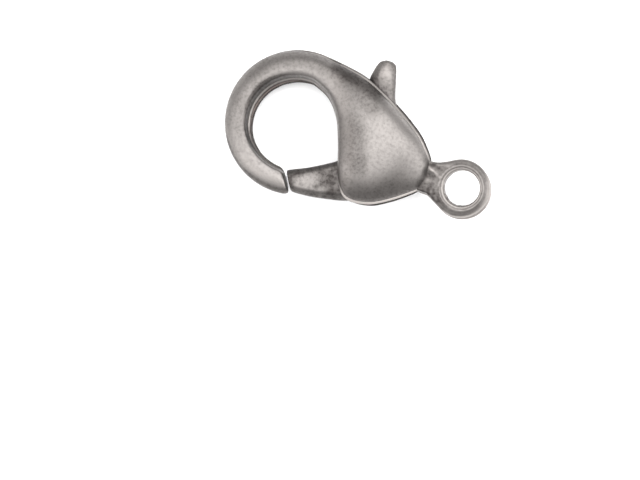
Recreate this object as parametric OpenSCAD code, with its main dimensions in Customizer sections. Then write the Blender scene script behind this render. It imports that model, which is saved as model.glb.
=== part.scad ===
// Lobster clasp: a folded sheet body with a hook, a hollow pouch and a ring, a spring lever and its pin.
// The body's own frame has the ring's hole at the origin, the hook towards -X, the trigger towards +Y
// and the fold's mid-plane at Z = 0. The finished model is turned into the way it lies on a table.

/* [Ring] */
// Diameter of the hole that takes a jump ring
ring_hole_d = 1.9; // [1.2:0.1:2.6]
// Width of the metal round the hole
ring_w = 0.6; // [0.45:0.05:1]
// Thickness of the ring, both pressed layers together
ring_t = 1; // [0.7:0.05:1.5]
// Bevel at the rims of the ring
ring_bevel = 0.14; // [0.08:0.01:0.25]
// Width of the neck between the ring and the pouch
neck_w = 1.75; // [1.3:0.05:2.2]
// Distance that the middle of the neck and of the ring's rim lies below the hole's middle
neck_drop = 0.05; // [0:0.01:0.2]

/* [Hook] */
// Distance from the ring's hole to the middle of the hook's eye
eye_x = 9.35; // [8.5:0.05:11]
// Height of the eye's middle above the line through the ring's hole
eye_rise = 0.05; // [0:0.01:0.2]
// Inner radius of the hook
eye_r = 2.45; // [2.1:0.05:2.9]
// Width of the hook where it leaves the pouch
hook_back_w = 1.65; // [1.2:0.05:2.1]
// Width of the hook at its far side
hook_far_w = 1.55; // [1.2:0.05:2]
// Width of the hook at its tip
hook_tip_w = 1.1; // [0.9:0.05:1.4]
// How far the hook is filled out inside near its tip
tip_fill = 0.21; // [0:0.01:0.3]
// Thickness of the hook where it leaves the pouch
hook_t = 1.8; // [1.3:0.05:2.2]
// Thickness of the hook at its tip
hook_tip_t = 1.4; // [1.1:0.05:1.7]
// Angle that the hook's inner edge turns through from the pouch to the tip
hook_turn = 179.5; // [170:0.5:184]

/* [Pouch] */
// Thickness over the pouch's two domed walls
pouch_t = 3.5; // [3:0.05:4.2]
// Depth of the pouch below the line through the ring and the eye
belly_h = 2.72; // [2.5:0.02:3]
// Thickness of the sheet
sheet_t = 0.42; // [0.3:0.01:0.5]
// Width of the slot in the back, where the trigger comes out
slot_w = 1; // [0.95:0.05:1.3]
// Width of the mouth that the gate swings in
mouth_w = 1.5; // [1.4:0.05:1.8]
// Width of the seam where the folded edges meet
seam_w = 0.08; // [0.05:0.01:0.12]
// Depth of that seam
seam_depth = 0.16; // [0.08:0.01:0.25]

/* [Lever] */
// Distance from the ring's hole to the pivot
pivot_x = 4.6; // [4.4:0.05:4.9]
// Distance that the pivot lies below the line through the ring's hole
pivot_drop = 0.1; // [0:0.02:0.3]
// Width of the gate at its end
gate_w = 1.16; // [0.9:0.02:1.4]
// Thickness of the gate
gate_t = 1.24; // [1:0.02:1.3]
// Gap between the closed gate and the hook's tip
gate_gap = 0.2; // [0.1:0.02:0.4]
// Radius of the lever's hub
hub_r = 1; // [0.9:0.05:1.1]
// Radius of the hub's two bosses round the pin
boss_r = 0.7; // [0.62:0.02:0.78]
// Angle of the trigger to the line through the ring and the eye
trigger_angle = 104.7; // [101:0.1:108]
// Distance from the pivot to the top of the trigger
trigger_reach = 5.36; // [4.9:0.02:5.8]
// Width of the trigger
trigger_w = 1.12; // [0.9:0.02:1.3]
// Thickness of the trigger
trigger_t = 0.84; // [0.6:0.02:0.86]

/* [Pin and spring] */
// Diameter of the pivot pin
pin_d = 0.8; // [0.6:0.02:0.9]
// Depth of the blind sockets that hold the pin's ends
socket_depth = 0.2; // [0.1:0.01:0.22]
// Clearance of the hub's bosses under the pouch's walls
boss_gap = 0.3; // [0.24:0.02:0.4]
// Clearance of the pin's ends in their sockets
pin_seat = 0.01; // [0.005:0.005:0.03]
// Clearance of the lever round the pin
pin_clearance = 0.04; // [0.02:0.01:0.06]
// Thickness of the spring strip
strip_t = 0.12; // [0.08:0.01:0.16]
// Width of the spring strip
strip_w = 0.8; // [0.6:0.05:0.9]
// Gap between the spring and the closed lever
spring_gap = 0.06; // [0.04:0.01:0.1]

/* [Hidden] */

// Steps between two rows of a section table, and points across each face of a section
row_steps = 2;
face_steps = 9;
lever_steps = 6;
// Share of the lever's thickness that its edges keep nearly flat
lever_flat = 0.5;
// Distance that those edges bulge
lever_bulge = 0.03;
$fn = 64;

ring_r = ring_hole_d / 2 + ring_w;
back_h = eye_rise + eye_r + hook_back_w;
pivot = [-pivot_x, -pivot_drop];

// The hook's outer edge is one arc, set by the three widths
hook_r = eye_r + (hook_back_w + hook_tip_w) / 2;
hook_mid = [hook_r - eye_x - eye_r - hook_far_w, eye_rise + (hook_back_w - hook_tip_w) / 2];
eye_mid = [-eye_x, eye_rise];
// Angle that the outer edge turns on past the inner one, which squares the tip to the gate
tip_angle = 12.5;

function polar(mid, r, a) = mid + r * [cos(a), sin(a)];
// Distance from the eye's middle to the outer arc, along the angle a
function reach_out(a) =
    let (d = hook_mid - eye_mid, u = [cos(a), sin(a)], along = d * u)
    along + sqrt(hook_r * hook_r - d * d + along * along);

// A section row is [back edge x, y, front edge x, y, half thickness, half height of the back edge,
// half height of the front edge, fullness, shift of the crest to the front, depth of the back seam,
// depth of the front seam]
HOOK_STEPS = 8;
// Share of the hook's length where the filling of its tip starts
fill_start = 0.6;
// Share of the hook's length that the rounding of its tip takes, and the size of the flat that it leaves
tip_round = 0.024;
tip_size = 0.8;
// Half height of the narrow face along the fold
fold_edge = 0.06;
// Distance that this face bulges
fold_bulge = 0.03;
// How full the faces are: 2 is an ellipse, and a higher number is squarer
hook_full = 2.1;
neck_full = 2.6;
lever_full = 3.4;
// Shift of the hook's crest from the middle towards its inner edge
hook_crest = 0.4;
function filling(k) = let (t = max(k - fill_start, 0) / (1 - fill_start)) tip_fill * t * t * (3 - 2 * t);
function hook_row(k) =
    let (
        a_in = 90 + hook_turn * k,
        a_out = 90 + (hook_turn + tip_angle) * k,
        inner = polar(eye_mid, eye_r - filling(k), a_in),
        outer = polar(eye_mid, reach_out(a_out), a_out),
        half = (hook_t + (hook_tip_t - hook_t) * k) / 2
    )
    [
        outer.x, outer.y, inner.x, inner.y, half, fold_edge, seam_w / 2,
        hook_full, hook_crest, -fold_bulge, seam_depth
    ];

// A row made smaller about its middle rounds the end of a piece
function shrunk(row, k) =
    let (mx = (row[0] + row[2]) / 2, my = (row[1] + row[3]) / 2)
    [
        mx + (row[0] - mx) * k, my + (row[1] - my) * k, mx + (row[2] - mx) * k, my + (row[3] - my) * k,
        row[4] * k, row[5] * k, row[6] * k, row[7], row[8], row[9] * k, row[10] * k
    ];

// Rows of the pouch: x as shares of eye_x; the back's y of back_h; the front's y of eye_r above the
// axis and of belly_h below it; the thickness of pouch_t; the edges of slot_w and mouth_w
// [back x, back y, front x, front y, thickness, back edge, front edge, fullness, crest]
POUCH = [
    [-0.856, 0.976, -0.897, 0.855, 0.56, 0.10, 0.10, 2.1, 0.30],
    [-0.725, 0.924, -0.807, 0.495, 0.74, 0.80, 0.45, 2.2, 0.15],
    [-0.590, 0.806, -0.738, -0.050, 0.92, 1.00, 0.85, 2.3, 0.05],
    [-0.472, 0.672, -0.680, -0.600, 1.00, 1.00, 1.00, 2.4, 0.00],
    [-0.380, 0.548, -0.605, -0.950, 0.97, 1.00, 1.00, 2.4, 0.00],
    [-0.318, 0.446, -0.480, -0.935, 0.84, 0.90, 0.90, 2.3, 0.00],
    [-0.270, 0.340, -0.370, -0.735, 0.64, 0.70, 0.60, 2.2, 0.00],
    [-0.230, 0.235, -0.262, -0.445, 0.43, 0.50, 0.30, 2.1, 0.00],
];
function pouch_row(p) =
    [
        p[0] * eye_x, p[1] * back_h, p[2] * eye_x, p[3] * (p[3] > 0 ? eye_r : belly_h),
        p[4] * pouch_t / 2, p[5] * slot_w / 2, p[6] * mouth_w / 2, p[7], p[8], seam_depth, seam_depth
    ];

// A row of the neck: x as a share of the ring's radius, half the width as a length, and the thickness
// as a share of the ring's
function neck_row(x, half_w, t) =
    [
        -x * ring_r, half_w - neck_drop, -x * ring_r, -half_w - neck_drop,
        t * ring_t / 2, seam_w, seam_w, neck_full, 0, seam_depth / 2, seam_depth / 2
    ];
// The neck spreads into the ring's metal and ends there, just short of the hole
neck_end = (ring_hole_d / 2 + 0.07 * ring_w) / ring_r;
neck_rows = [
    neck_row(1.26, 0.505 * neck_w, 1.04),
    neck_row(0.98, 0.56 * neck_w, 0.96),
    neck_row(0.78, 0.66 * ring_r, 0.8),
    neck_row(neck_end, 0.96 * ring_r * sqrt(1 - neck_end * neck_end), 0.6),
];

hook_rows = concat(
    [shrunk(hook_row(1), tip_size), hook_row(1 - tip_round)],
    [for (k = [HOOK_STEPS - 1:-1:0]) hook_row(k / HOOK_STEPS)]
);
pouch_rows = [for (p = POUCH) pouch_row(p)];
key_rows = concat(hook_rows, pouch_rows, neck_rows);

// Smooth rows between the key rows, on a curve through them all
function mix(a, b, c, d, t) =
    0.5 * (2 * b + (c - a) * t + (2 * a - 5 * b + 4 * c - d) * t * t + (3 * b - a - 3 * c + d) * t * t * t);
function pick(rows, i) = rows[max(0, min(len(rows) - 1, i))];
function smoothed(rows, steps) = concat(
    [
        for (i = [0:len(rows) - 2], k = [0:steps - 1])
            mix(pick(rows, i - 1), rows[i], rows[i + 1], pick(rows, i + 2), k / steps)
    ],
    [rows[len(rows) - 1]]
);

function power(c, k) = sign(c) * pow(abs(c), k);
// The direction across a section, from the back edge to the front edge
function across(row) =
    let (d = [row[2] - row[0], row[3] - row[1]])
    d / norm(d);
// A point of a section: turn runs from 0 at the back edge to 180 at the front edge
function face_point(row, turn, side) =
    let (
        w = (1 - power(cos(turn), 2 / row[7])) / 2,
        s = w + row[8] * w * (1 - w),
        edge = row[5] + (row[6] - row[5]) * w,
        z = edge + (row[4] - edge) * pow(sin(turn), 2 / row[7])
    )
    [row[0] + (row[2] - row[0]) * s, row[1] + (row[3] - row[1]) * s, side * z];
// The section's upper face, the bottom of the front seam, the lower face and the bottom of the back seam
function section(row, n) =
    let (u = across(row))
    concat(
        [for (k = [0:n]) face_point(row, 180 * k / n, 1)],
        [[row[2] - u.x * row[10], row[3] - u.y * row[10], 0]],
        [for (k = [n:-1:0]) face_point(row, 180 * k / n, -1)],
        [[row[0] + u.x * row[9], row[1] + u.y * row[9], 0]]
    );

// Two triangles between points a and b of one row and the same points of the next
function band(a, b, m) = [[a, b, b + m], [a, b + m, a + m]];
function turned(faces) = [for (f = faces) [f[0], f[2], f[1]]];
function cap(first, m) = [for (j = [1:m - 2]) [first, first + j + 1, first + j]];

// A closed skin through the rows, with n steps across each face. Between the rows of hollow it has an
// inner skin too, and both seams are open there, so that two walls of sheet are left.
module loft(rows, n, hollow = [0, 0], wall = 0) {
    m = 2 * n + 4;
    count = len(rows);
    inner_first = count * m;
    has_hollow = hollow[1] > hollow[0];
    inner_rows = has_hollow ? [for (i = [hollow[0]:hollow[1]]) inset(rows[i], wall)] : [];
    points = [for (row = concat(rows, inner_rows)) each section(row, n)];
    function is_open(i) = has_hollow && i >= hollow[0] && i < hollow[1];
    // Outer skin; points n to n + 2 are the front seam, and points 2n + 2 to 0 are the back seam
    outer = [
        for (i = [0:count - 2], j = [0:m - 1])
            if (!is_open(i) || j < n || (j > n + 1 && j < m - 2))
                each band(i * m + j, i * m + (j + 1) % m, m)
    ];
    shift = inner_first - hollow[0] * m;
    inner = !has_hollow ? [] : [
        for (i = [hollow[0]:hollow[1] - 1], j = [0:m - 1])
            if (j < n || (j > n + 1 && j < m - 2))
                each turned(band(shift + i * m + j, shift + i * m + j + 1, m))
    ];
    // The lips that join the two skins along both seams
    lips = !has_hollow ? [] : [
        for (i = [hollow[0]:hollow[1] - 1], j = [0, n, n + 2, m - 2])
            let (
                a = i * m + j,
                b = shift + i * m + j,
                faces = [[a, a + m, b + m], [a, b + m, b]]
            )
            each (j == 0 || j == n + 2 ? faces : turned(faces))
    ];
    // The ends of the hollow close the space between the two walls
    ends = !has_hollow ? [] : [
        for (e = [0, 1])
            let (
                o = hollow[e] * m,
                i = shift + hollow[e] * m,
                faces = concat(
                    [
                        for (k = [0:n - 1])
                            each [
                                [i + k, i + k + 1, i + m - 3 - k],
                                [i + k, i + m - 3 - k, i + m - 2 - k]
                            ]
                    ],
                    [[o, i, i + m - 2], [o, i + m - 2, o + m - 2], [o, o + m - 2, o + m - 1]],
                    [[i + n, o + n, o + n + 2], [i + n, o + n + 2, i + n + 2], [o + n, o + n + 1, o + n + 2]]
                )
            )
            each (e == 0 ? faces : turned(faces))
    ];
    faces = concat(outer, inner, lips, ends, cap(0, m), turned(cap((count - 1) * m, m)));
    polyhedron(points = points, faces = turned(faces), convexity = 10);
}

function inset(row, t) =
    let (u = across(row) * t)
    [
        row[0] + u.x, row[1] + u.y, row[2] - u.x, row[3] - u.y,
        row[4] - t, row[5], row[6], row[7], row[8], 0, 0
    ];

// First and last key rows of the hollow, which the slot in the back and the mouth both open
hollow_keys = [len(hook_rows) + 1, len(hook_rows) + len(POUCH) - 1];
all_rows = smoothed(key_rows, row_steps);

module ring() {
    h = ring_t / 2;
    b = ring_bevel;
    g = seam_w / 2;
    translate([0, -neck_drop, 0])
        rotate_extrude()
            polygon([
                [0, -h], [ring_r - b, -h], [ring_r, -h + b], [ring_r, -g], [ring_r - g, 0],
                [ring_r, g], [ring_r, h - b], [ring_r - b, h], [0, h]
            ]);
}

module ring_hole() {
    r = ring_hole_d / 2;
    h = ring_t / 2;
    b = ring_bevel;
    rotate_extrude()
        polygon([[0, -h - b], [r + 2 * b, -h - b], [r, -h + b], [r, h - b], [r + 2 * b, h + b], [0, h + b]]);
}

// Share of the pouch's thickness at the pivot, and the height inside the pouch there
pivot_dome = 0.97;
dome_h = pivot_dome * pouch_t / 2 - sheet_t;

module at_pivot() {
    translate([pivot.x, pivot.y, 0])
        children();
}

module shell() {
    difference() {
        union() {
            loft(all_rows, face_steps, hollow_keys * row_steps, sheet_t);
            ring();
        }
        ring_hole();
        at_pivot()
            cylinder(r = pin_d / 2 + pin_seat, h = 2 * (dome_h + socket_depth), center = true);
    }
}

// The gate points from the pivot at the middle of the hook's tip
tip_end = 90 + hook_turn + tip_angle;
tip_mid = (polar(eye_mid, eye_r, 90 + hook_turn) + polar(eye_mid, reach_out(tip_end), tip_end)) / 2;
gate_dir = (tip_mid - pivot) / norm(tip_mid - pivot);
gate_up = [gate_dir.y, -gate_dir.x];
gate_reach = norm(tip_mid - pivot) - gate_gap;
trigger_dir = [cos(trigger_angle), sin(trigger_angle)];
trigger_right = [trigger_dir.y, -trigger_dir.x];

// Rows of the gate from its end to the mouth, in its own directions: along as shares of gate_reach, up
// as shares of gate_w
// [lower edge along, up, upper edge along, up, thickness]
GATE = [
    [0.995, -0.36, 0.988, 0.46, 0.80],
    [0.970, -0.51, 0.966, 0.55, 1.00],
    [0.800, -0.88, 0.752, 0.45, 1.00],
    [0.615, -1.19, 0.520, 0.43, 1.00],
    [0.460, -1.40, 0.410, 0.47, 1.00],
    [0.280, -1.47, 0.330, 0.58, 1.00],
];
// Rows round the hub, as shares of hub_r from the pivot
// [right edge x, y, left edge x, y, thickness]
HUB = [
    [-0.05, -1.50, -1.20, 0.10, 1.00],
    [0.75, -0.75, -1.05, 0.90, 1.00],
    [1.02, 0.35, -1.15, 1.70, 0.95],
];
// Rows of the trigger, in its own directions: along as shares of trigger_reach, across of trigger_w
// [right edge along, across, left edge along, across, thickness]
TRIGGER = [
    [0.303, 0.84, 0.540, -0.62, 1.00],
    [0.533, 0.55, 0.686, -0.81, 1.00],
    [0.637, 0.42, 0.795, -0.86, 1.00],
    [0.815, 0.38, 0.908, -0.65, 0.98],
    [0.945, 0.31, 0.978, -0.40, 0.85],
    [0.988, 0.12, 1.000, -0.15, 0.55],
];
function lever_row(right, left, half) =
    [
        left.x, left.y, right.x, right.y,
        half, half * lever_flat, half * lever_flat, lever_full, 0, -lever_bulge, -lever_bulge
    ];
function in_frame(along, side, along_dir, side_dir) = pivot + along * along_dir + side * side_dir;
lever_rows = concat(
    [
        for (g = GATE)
            lever_row(
                in_frame(g[0] * gate_reach, g[1] * gate_w, gate_dir, gate_up),
                in_frame(g[2] * gate_reach, g[3] * gate_w, gate_dir, gate_up),
                g[4] * gate_t / 2
            )
    ],
    [for (h = HUB) lever_row(pivot + [h[0], h[1]] * hub_r, pivot + [h[2], h[3]] * hub_r, h[4] * gate_t / 2)],
    [
        for (t = TRIGGER)
            lever_row(
                in_frame(t[0] * trigger_reach, t[1] * trigger_w, trigger_dir, trigger_right),
                in_frame(t[2] * trigger_reach, t[3] * trigger_w, trigger_dir, trigger_right),
                t[4] * trigger_t / 2
            )
    ]
);

// The spring strip runs from the lever's hub down to its bend and back up along the pouch's end
// Points as shares of hub_r from the pivot, moved off the hub by the strip's own half thickness
SPRING_FRONT = [[0.75, 1.25], [0.96, 0.80], [1.10, 0.30], [1.18, -0.20], [1.30, -0.62]];
// Points as shares of ring_r from the pouch's end
SPRING_REAR = [[-0.46, -0.50], [-0.33, -0.40], [-0.28, -0.10], [-0.30, 0.24], [-0.39, 0.46]];
pouch_end = [POUCH[len(POUCH) - 1][0] * eye_x, 0];
spring_points = concat(
    [for (f = SPRING_FRONT) pivot + f * hub_r + [spring_gap + strip_t / 2, 0]],
    [for (r = SPRING_REAR) pouch_end + r * ring_r]
);
function along_path(points, i) =
    let (d = pick(points, i + 1) - pick(points, i - 1))
    d / norm(d);
function beside(points, off) = [
    for (i = [0:len(points) - 1])
        let (d = along_path(points, i))
        points[i] + off * [d.y, -d.x]
];
function reversed(list) = [for (i = [len(list) - 1:-1:0]) list[i]];

// The clasp lies on the pouch's dome and the far side of the hook, which lifts the ring
rest_dome = [0.62 * eye_x, 0.985 * pouch_t / 2];
rest_hook = [eye_x + eye_r + 0.47 * hook_far_w, (hook_t + hook_tip_t) / 4];
rest_pitch = atan((rest_dome.y - rest_hook.y) / (rest_hook.x - rest_dome.x));
// Angle that it rolls by, towards the trigger's side
rest_roll = 0.4;
module resting() {
    rotate([rest_roll, -rest_pitch, 0])
        children();
}

module body() {
    color("darkgray")
        resting()
            shell();
}

module lever() {
    color("silver")
        resting()
            difference() {
                union() {
                    loft(smoothed(lever_rows, row_steps), lever_steps);
                    at_pivot()
                        cylinder(r = boss_r, h = 2 * (dome_h - boss_gap), center = true);
                }
                at_pivot()
                    cylinder(r = pin_d / 2 + pin_clearance, h = 2 * dome_h, center = true);
            }
}

module pivot_pin() {
    color("dimgray")
        resting()
            at_pivot()
                cylinder(d = pin_d, h = 2 * (dome_h + socket_depth - pin_seat), center = true);
}

module return_spring() {
    path = smoothed(spring_points, 3);
    color("gainsboro")
        resting()
            translate([0, 0, -strip_w / 2])
                linear_extrude(strip_w)
                    polygon(concat(beside(path, strip_t / 2), reversed(beside(path, -strip_t / 2))));
}

body();
lever();
pivot_pin();
return_spring();
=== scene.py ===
import math

import bmesh
import bpy
from mathutils import Matrix, Vector, noise
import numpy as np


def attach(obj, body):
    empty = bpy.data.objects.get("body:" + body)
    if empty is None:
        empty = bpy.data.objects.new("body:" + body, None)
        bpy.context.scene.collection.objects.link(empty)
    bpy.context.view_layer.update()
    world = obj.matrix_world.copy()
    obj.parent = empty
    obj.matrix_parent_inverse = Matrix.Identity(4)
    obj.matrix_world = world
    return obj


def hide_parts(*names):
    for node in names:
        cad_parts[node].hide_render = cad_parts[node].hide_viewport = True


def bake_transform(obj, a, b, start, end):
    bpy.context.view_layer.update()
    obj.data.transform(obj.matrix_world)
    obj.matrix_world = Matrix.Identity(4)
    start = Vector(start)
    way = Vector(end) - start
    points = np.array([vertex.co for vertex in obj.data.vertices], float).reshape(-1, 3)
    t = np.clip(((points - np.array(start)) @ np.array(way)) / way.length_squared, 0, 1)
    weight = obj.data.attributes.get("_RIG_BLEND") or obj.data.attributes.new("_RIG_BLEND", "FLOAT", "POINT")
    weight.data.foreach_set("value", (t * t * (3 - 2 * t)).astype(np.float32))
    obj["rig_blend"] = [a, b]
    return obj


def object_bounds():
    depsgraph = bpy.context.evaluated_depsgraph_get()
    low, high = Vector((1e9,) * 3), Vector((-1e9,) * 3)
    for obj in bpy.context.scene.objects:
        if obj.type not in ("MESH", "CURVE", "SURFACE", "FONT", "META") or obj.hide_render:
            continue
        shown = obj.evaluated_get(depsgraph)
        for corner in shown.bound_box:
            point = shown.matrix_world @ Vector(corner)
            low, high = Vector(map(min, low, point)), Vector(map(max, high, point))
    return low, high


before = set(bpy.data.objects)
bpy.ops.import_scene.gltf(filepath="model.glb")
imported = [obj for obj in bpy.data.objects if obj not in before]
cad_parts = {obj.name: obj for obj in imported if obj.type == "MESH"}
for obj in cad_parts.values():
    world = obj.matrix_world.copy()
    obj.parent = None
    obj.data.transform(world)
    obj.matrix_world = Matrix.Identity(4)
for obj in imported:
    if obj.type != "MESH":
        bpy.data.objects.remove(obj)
CAD_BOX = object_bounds()

bl_info = {
    "name": "Lobster Clasp",
    "version": (1, 0, 0),
    "blender": (4, 5, 0),
    "location": "3D View > Sidebar > Clasp",
    "description": "Dresses a lobster clasp of folded sheet in antique silver, on a pale floor",
    "category": "Object",
}

MM = 0.001
# Points that are nearer than this count as one
MERGE = 2e-8
# A point's marks: how dark it is from patina and painted shade, how far it is rubbed bright or given a
# painted highlight, how far it lies inside
MARKS = ("patina_and_shade", "rubbed_and_sheen", "inside")


def length(name, description, default):
    """A length among the settings, its default in mm"""
    return bpy.props.FloatProperty(
        name=name, description=description, default=default * MM, min=0.0,
        precision=6, subtype="DISTANCE", unit="LENGTH",
    )


def colour(name, description, default):
    """A colour among the settings"""
    return bpy.props.FloatVectorProperty(
        name=name, description=description, default=default, min=0.0, max=1.0,
        size=4, subtype="COLOR",
    )


class ClaspSizes(bpy.types.PropertyGroup):
    """Sizes of the clasp; its sections are shares of them"""

    ring_hole_r: length("Ring hole", "Radius of the hole in the ring", 0.95)
    ring_w: length("Ring width", "Width of the metal round the hole", 0.6)
    ring_t: length("Ring thickness", "Thickness of the ring's two layers", 1.0)
    neck_w: length("Neck width", "Width of the neck", 1.75)
    neck_drop: length("Neck drop", "How far the neck's middle and the ring's rim lie low", 0.05)
    eye_x: length("Eye distance", "From the ring's hole to the eye's middle", 9.35)
    eye_rise: length("Eye rise", "Height of the eye's middle over the ring's hole", 0.05)
    eye_r: length("Eye radius", "Inner radius of the hook", 2.45)
    hook_back_w: length("Hook back", "Width of the hook at the pouch", 1.65)
    hook_far_w: length("Hook side", "Width of the hook at its far side", 1.55)
    hook_tip_w: length("Hook tip", "Width of the hook at its tip", 1.1)
    tip_fill: length("Tip filling", "How far the hook is filled out inside near its tip", 0.21)
    hook_t: length("Hook thickness", "Thickness of the hook at the pouch", 1.8)
    hook_tip_t: length("Tip thickness", "Thickness of the hook at its tip", 1.4)
    pouch_t: length("Pouch thickness", "Thickness over the two domed walls", 3.5)
    belly_h: length("Belly", "Depth of the pouch below the ring's axis", 2.72)
    sheet_t: length("Sheet", "Thickness of the sheet", 0.42)
    slot_w: length("Slot", "Width of the slot in the back", 1.0)
    mouth_w: length("Mouth", "Width of the mouth that the gate swings in", 1.5)
    seam_w: length("Seam", "Width of the seam where folded edges meet", 0.08)
    seam_depth: length("Seam depth", "Depth of that seam", 0.16)
    pivot_x: length("Pivot distance", "From the ring's hole to the pivot", 4.6)
    pivot_drop: length("Pivot drop", "How far the pivot lies low", 0.1)
    gate_w: length("Gate width", "Width of the gate at its end", 1.16)
    gate_t: length("Gate thickness", "Thickness of the gate", 1.24)
    gate_gap: length("Gate gap", "Gap between gate and hook", 0.2)
    hub_r: length("Hub", "Radius of the lever's hub", 1.0)
    boss_r: length("Boss", "Radius of the hub's bosses", 0.7)
    boss_h: length("Boss height", "Height over the two bosses", 1.955)
    bore_r: length("Bore", "Radius of the lever's bore", 0.44)
    trigger_reach: length("Trigger reach", "From the pivot to the trigger's top", 5.36)
    trigger_w: length("Trigger width", "Width of the trigger", 1.12)
    trigger_t: length("Trigger thickness", "Thickness of the trigger", 0.84)
    strip_t: length("Spring thickness", "Thickness of the spring strip", 0.12)
    strip_w: length("Spring width", "Width of the spring strip", 0.8)
    spring_gap: length("Spring gap", "Gap between spring and hub", 0.06)
    hook_turn: bpy.props.FloatProperty(
        name="Hook turn", description="Angle that the hook's inner edge turns through",
        default=math.radians(179.5), subtype="ANGLE", unit="ROTATION",
    )
    trigger_angle: bpy.props.FloatProperty(
        name="Trigger angle", description="Angle of the trigger to the clasp's axis",
        default=math.radians(104.7), subtype="ANGLE", unit="ROTATION",
    )
    rest_pitch: bpy.props.FloatProperty(
        name="Resting pitch", description="Angle that the ring's end is lifted by",
        default=math.radians(7.81378), subtype="ANGLE", unit="ROTATION",
    )
    rest_roll: bpy.props.FloatProperty(
        name="Resting roll", description="Angle that the clasp rolls by",
        default=math.radians(0.4), subtype="ANGLE", unit="ROTATION",
    )
    silver: colour("Silver", "Colour of the plating", (0.216, 0.202, 0.193, 1.0))
    # Dark patina colour, also used for painted shade on slopes, in seams and under lips
    patina_and_shade: colour("Patina", "Colour of the darkened recesses", (0.045, 0.04, 0.038, 1.0))
    # Bright colour of edges rubbed by wear and of painted highlights
    rubbed_and_sheen: colour("Rubbed edge", "Colour of edges that are rubbed bright", (0.66, 0.61, 0.58, 1.0))
    # Colour of the unplated metal inside the pouch, darkened as painted shade
    inside: colour("Inside", "Colour of the metal inside the pouch", (0.13, 0.105, 0.095, 1.0))
    floor: colour("Floor", "Colour of the floor", (0.9, 0.9, 0.9, 1.0))


# Curves and sections

# Columns of a section row: back edge x and y, front edge x and y, half thickness, half height of
# the two edges, fullness, shift of the crest, how much each lip stands out, how hollow it is
BX, BY, FX, FY, HALF, BACK, FRONT, FULL, CREST, BACK_LIP, FRONT_LIP, CAVITY = range(12)

# Pouch rows as shares: x of eye_x, back y of the back's height, front y of eye_r above the axis and
# of belly_h below it, thickness of pouch_t, edges of slot_w and mouth_w, and the rest as above
POUCH = (
    (-0.856, 0.976, -0.897, 0.855, 0.56, 0.10, 0.10, 2.1, 0.30, 0.90, 0.60, 0.0),
    (-0.725, 0.924, -0.807, 0.495, 0.74, 0.80, 0.45, 2.2, 0.15, 1.00, 0.15, 1.0),
    (-0.590, 0.806, -0.738, -0.050, 0.92, 1.00, 0.85, 2.3, 0.05, 1.00, 0.00, 1.0),
    (-0.472, 0.672, -0.680, -0.600, 1.00, 1.00, 1.00, 2.4, 0.00, 1.00, 0.25, 1.0),
    (-0.380, 0.548, -0.605, -0.950, 0.97, 1.00, 1.00, 2.4, 0.00, 1.00, 1.00, 1.0),
    (-0.318, 0.446, -0.480, -0.935, 0.84, 0.90, 0.90, 2.3, 0.00, 1.00, 1.00, 1.0),
    (-0.270, 0.340, -0.370, -0.735, 0.64, 0.70, 0.60, 2.2, 0.00, 1.00, 1.00, 1.0),
    (-0.230, 0.235, -0.262, -0.445, 0.43, 0.50, 0.30, 2.1, 0.00, 0.80, 0.80, 0.6),
)


def mix(a, b, t):
    """From a to b as t goes from 0 to 1"""
    return a + (b - a) * t


def ease(t):
    """Rises smoothly from 0 to 1 as t does"""
    t = min(max(t, 0.0), 1.0)
    return t * t * (3.0 - 2.0 * t)


def bump(d, width):
    """Falls smoothly from 1 toward 0 as the distance d grows past the width"""
    return math.exp(-((d / width) ** 2))


def spot(x, y, middle, radii):
    """Strength of an oval spot at x and y"""
    return bump(math.hypot((x - middle[0]) / radii[0], (y - middle[1]) / radii[1]), 1.0)


def ridge(x, y, a, b, width):
    """Height share of a rounded ridge from a to b, in mm"""
    p, q = Vector(a), Vector(b)
    d = q - p
    t = min(max((Vector((x, y)) - p).dot(d) / d.length_squared, 0), 1)
    return bump((Vector((x, y)) - p - d * t).length, width)


def smoothed(rows, steps):
    """Rows on a smooth curve through the given ones"""
    out = []
    for i in range(len(rows) - 1):
        a, b, c, d = (rows[max(0, min(len(rows) - 1, i + k))] for k in (-1, 0, 1, 2))
        for k in range(steps):
            t = k / steps
            out.append([
                0.5 * (2 * q + (r - p) * t + (2 * p - 5 * q + 4 * r - s) * t * t
                       + (3 * q - p - 3 * r + s) * t ** 3)
                for p, q, r, s in zip(a, b, c, d)
            ])
    out.append(list(rows[-1]))
    return out


def shrunk(row, k):
    """The row made smaller about its middle"""
    row = list(row)
    for a, b in ((BX, FX), (BY, FY)):
        middle = (row[a] + row[b]) / 2
        row[a] = middle + (row[a] - middle) * k
        row[b] = middle + (row[b] - middle) * k
    row[HALF] *= k
    return row


# The hook's outer edge turns this much further than its inner one
TIP_ANGLE = math.radians(12.5)
# The tip's rounding as a share of the hook's length, and its end's size as a share of the section
TIP_ROUND = 0.03
TIP_SIZE = 0.74
# Shares of the hook's length: where it starts to fill out inside, and where its back seam closes
FILL_START = 0.6
SEAM_END = 0.26
# How far the folded sheet stands out past the hook's circle
FOLD_BULGE = 0.03 * MM
# Half the height of the open seam in the hook's back, as a share of the seam's width
SEAM_SHARE = 0.4
# Fullness, shift of the crest and back lip of the hook's sections
HOOK_FORM = (2.1, 0.4, 0.8)


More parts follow.
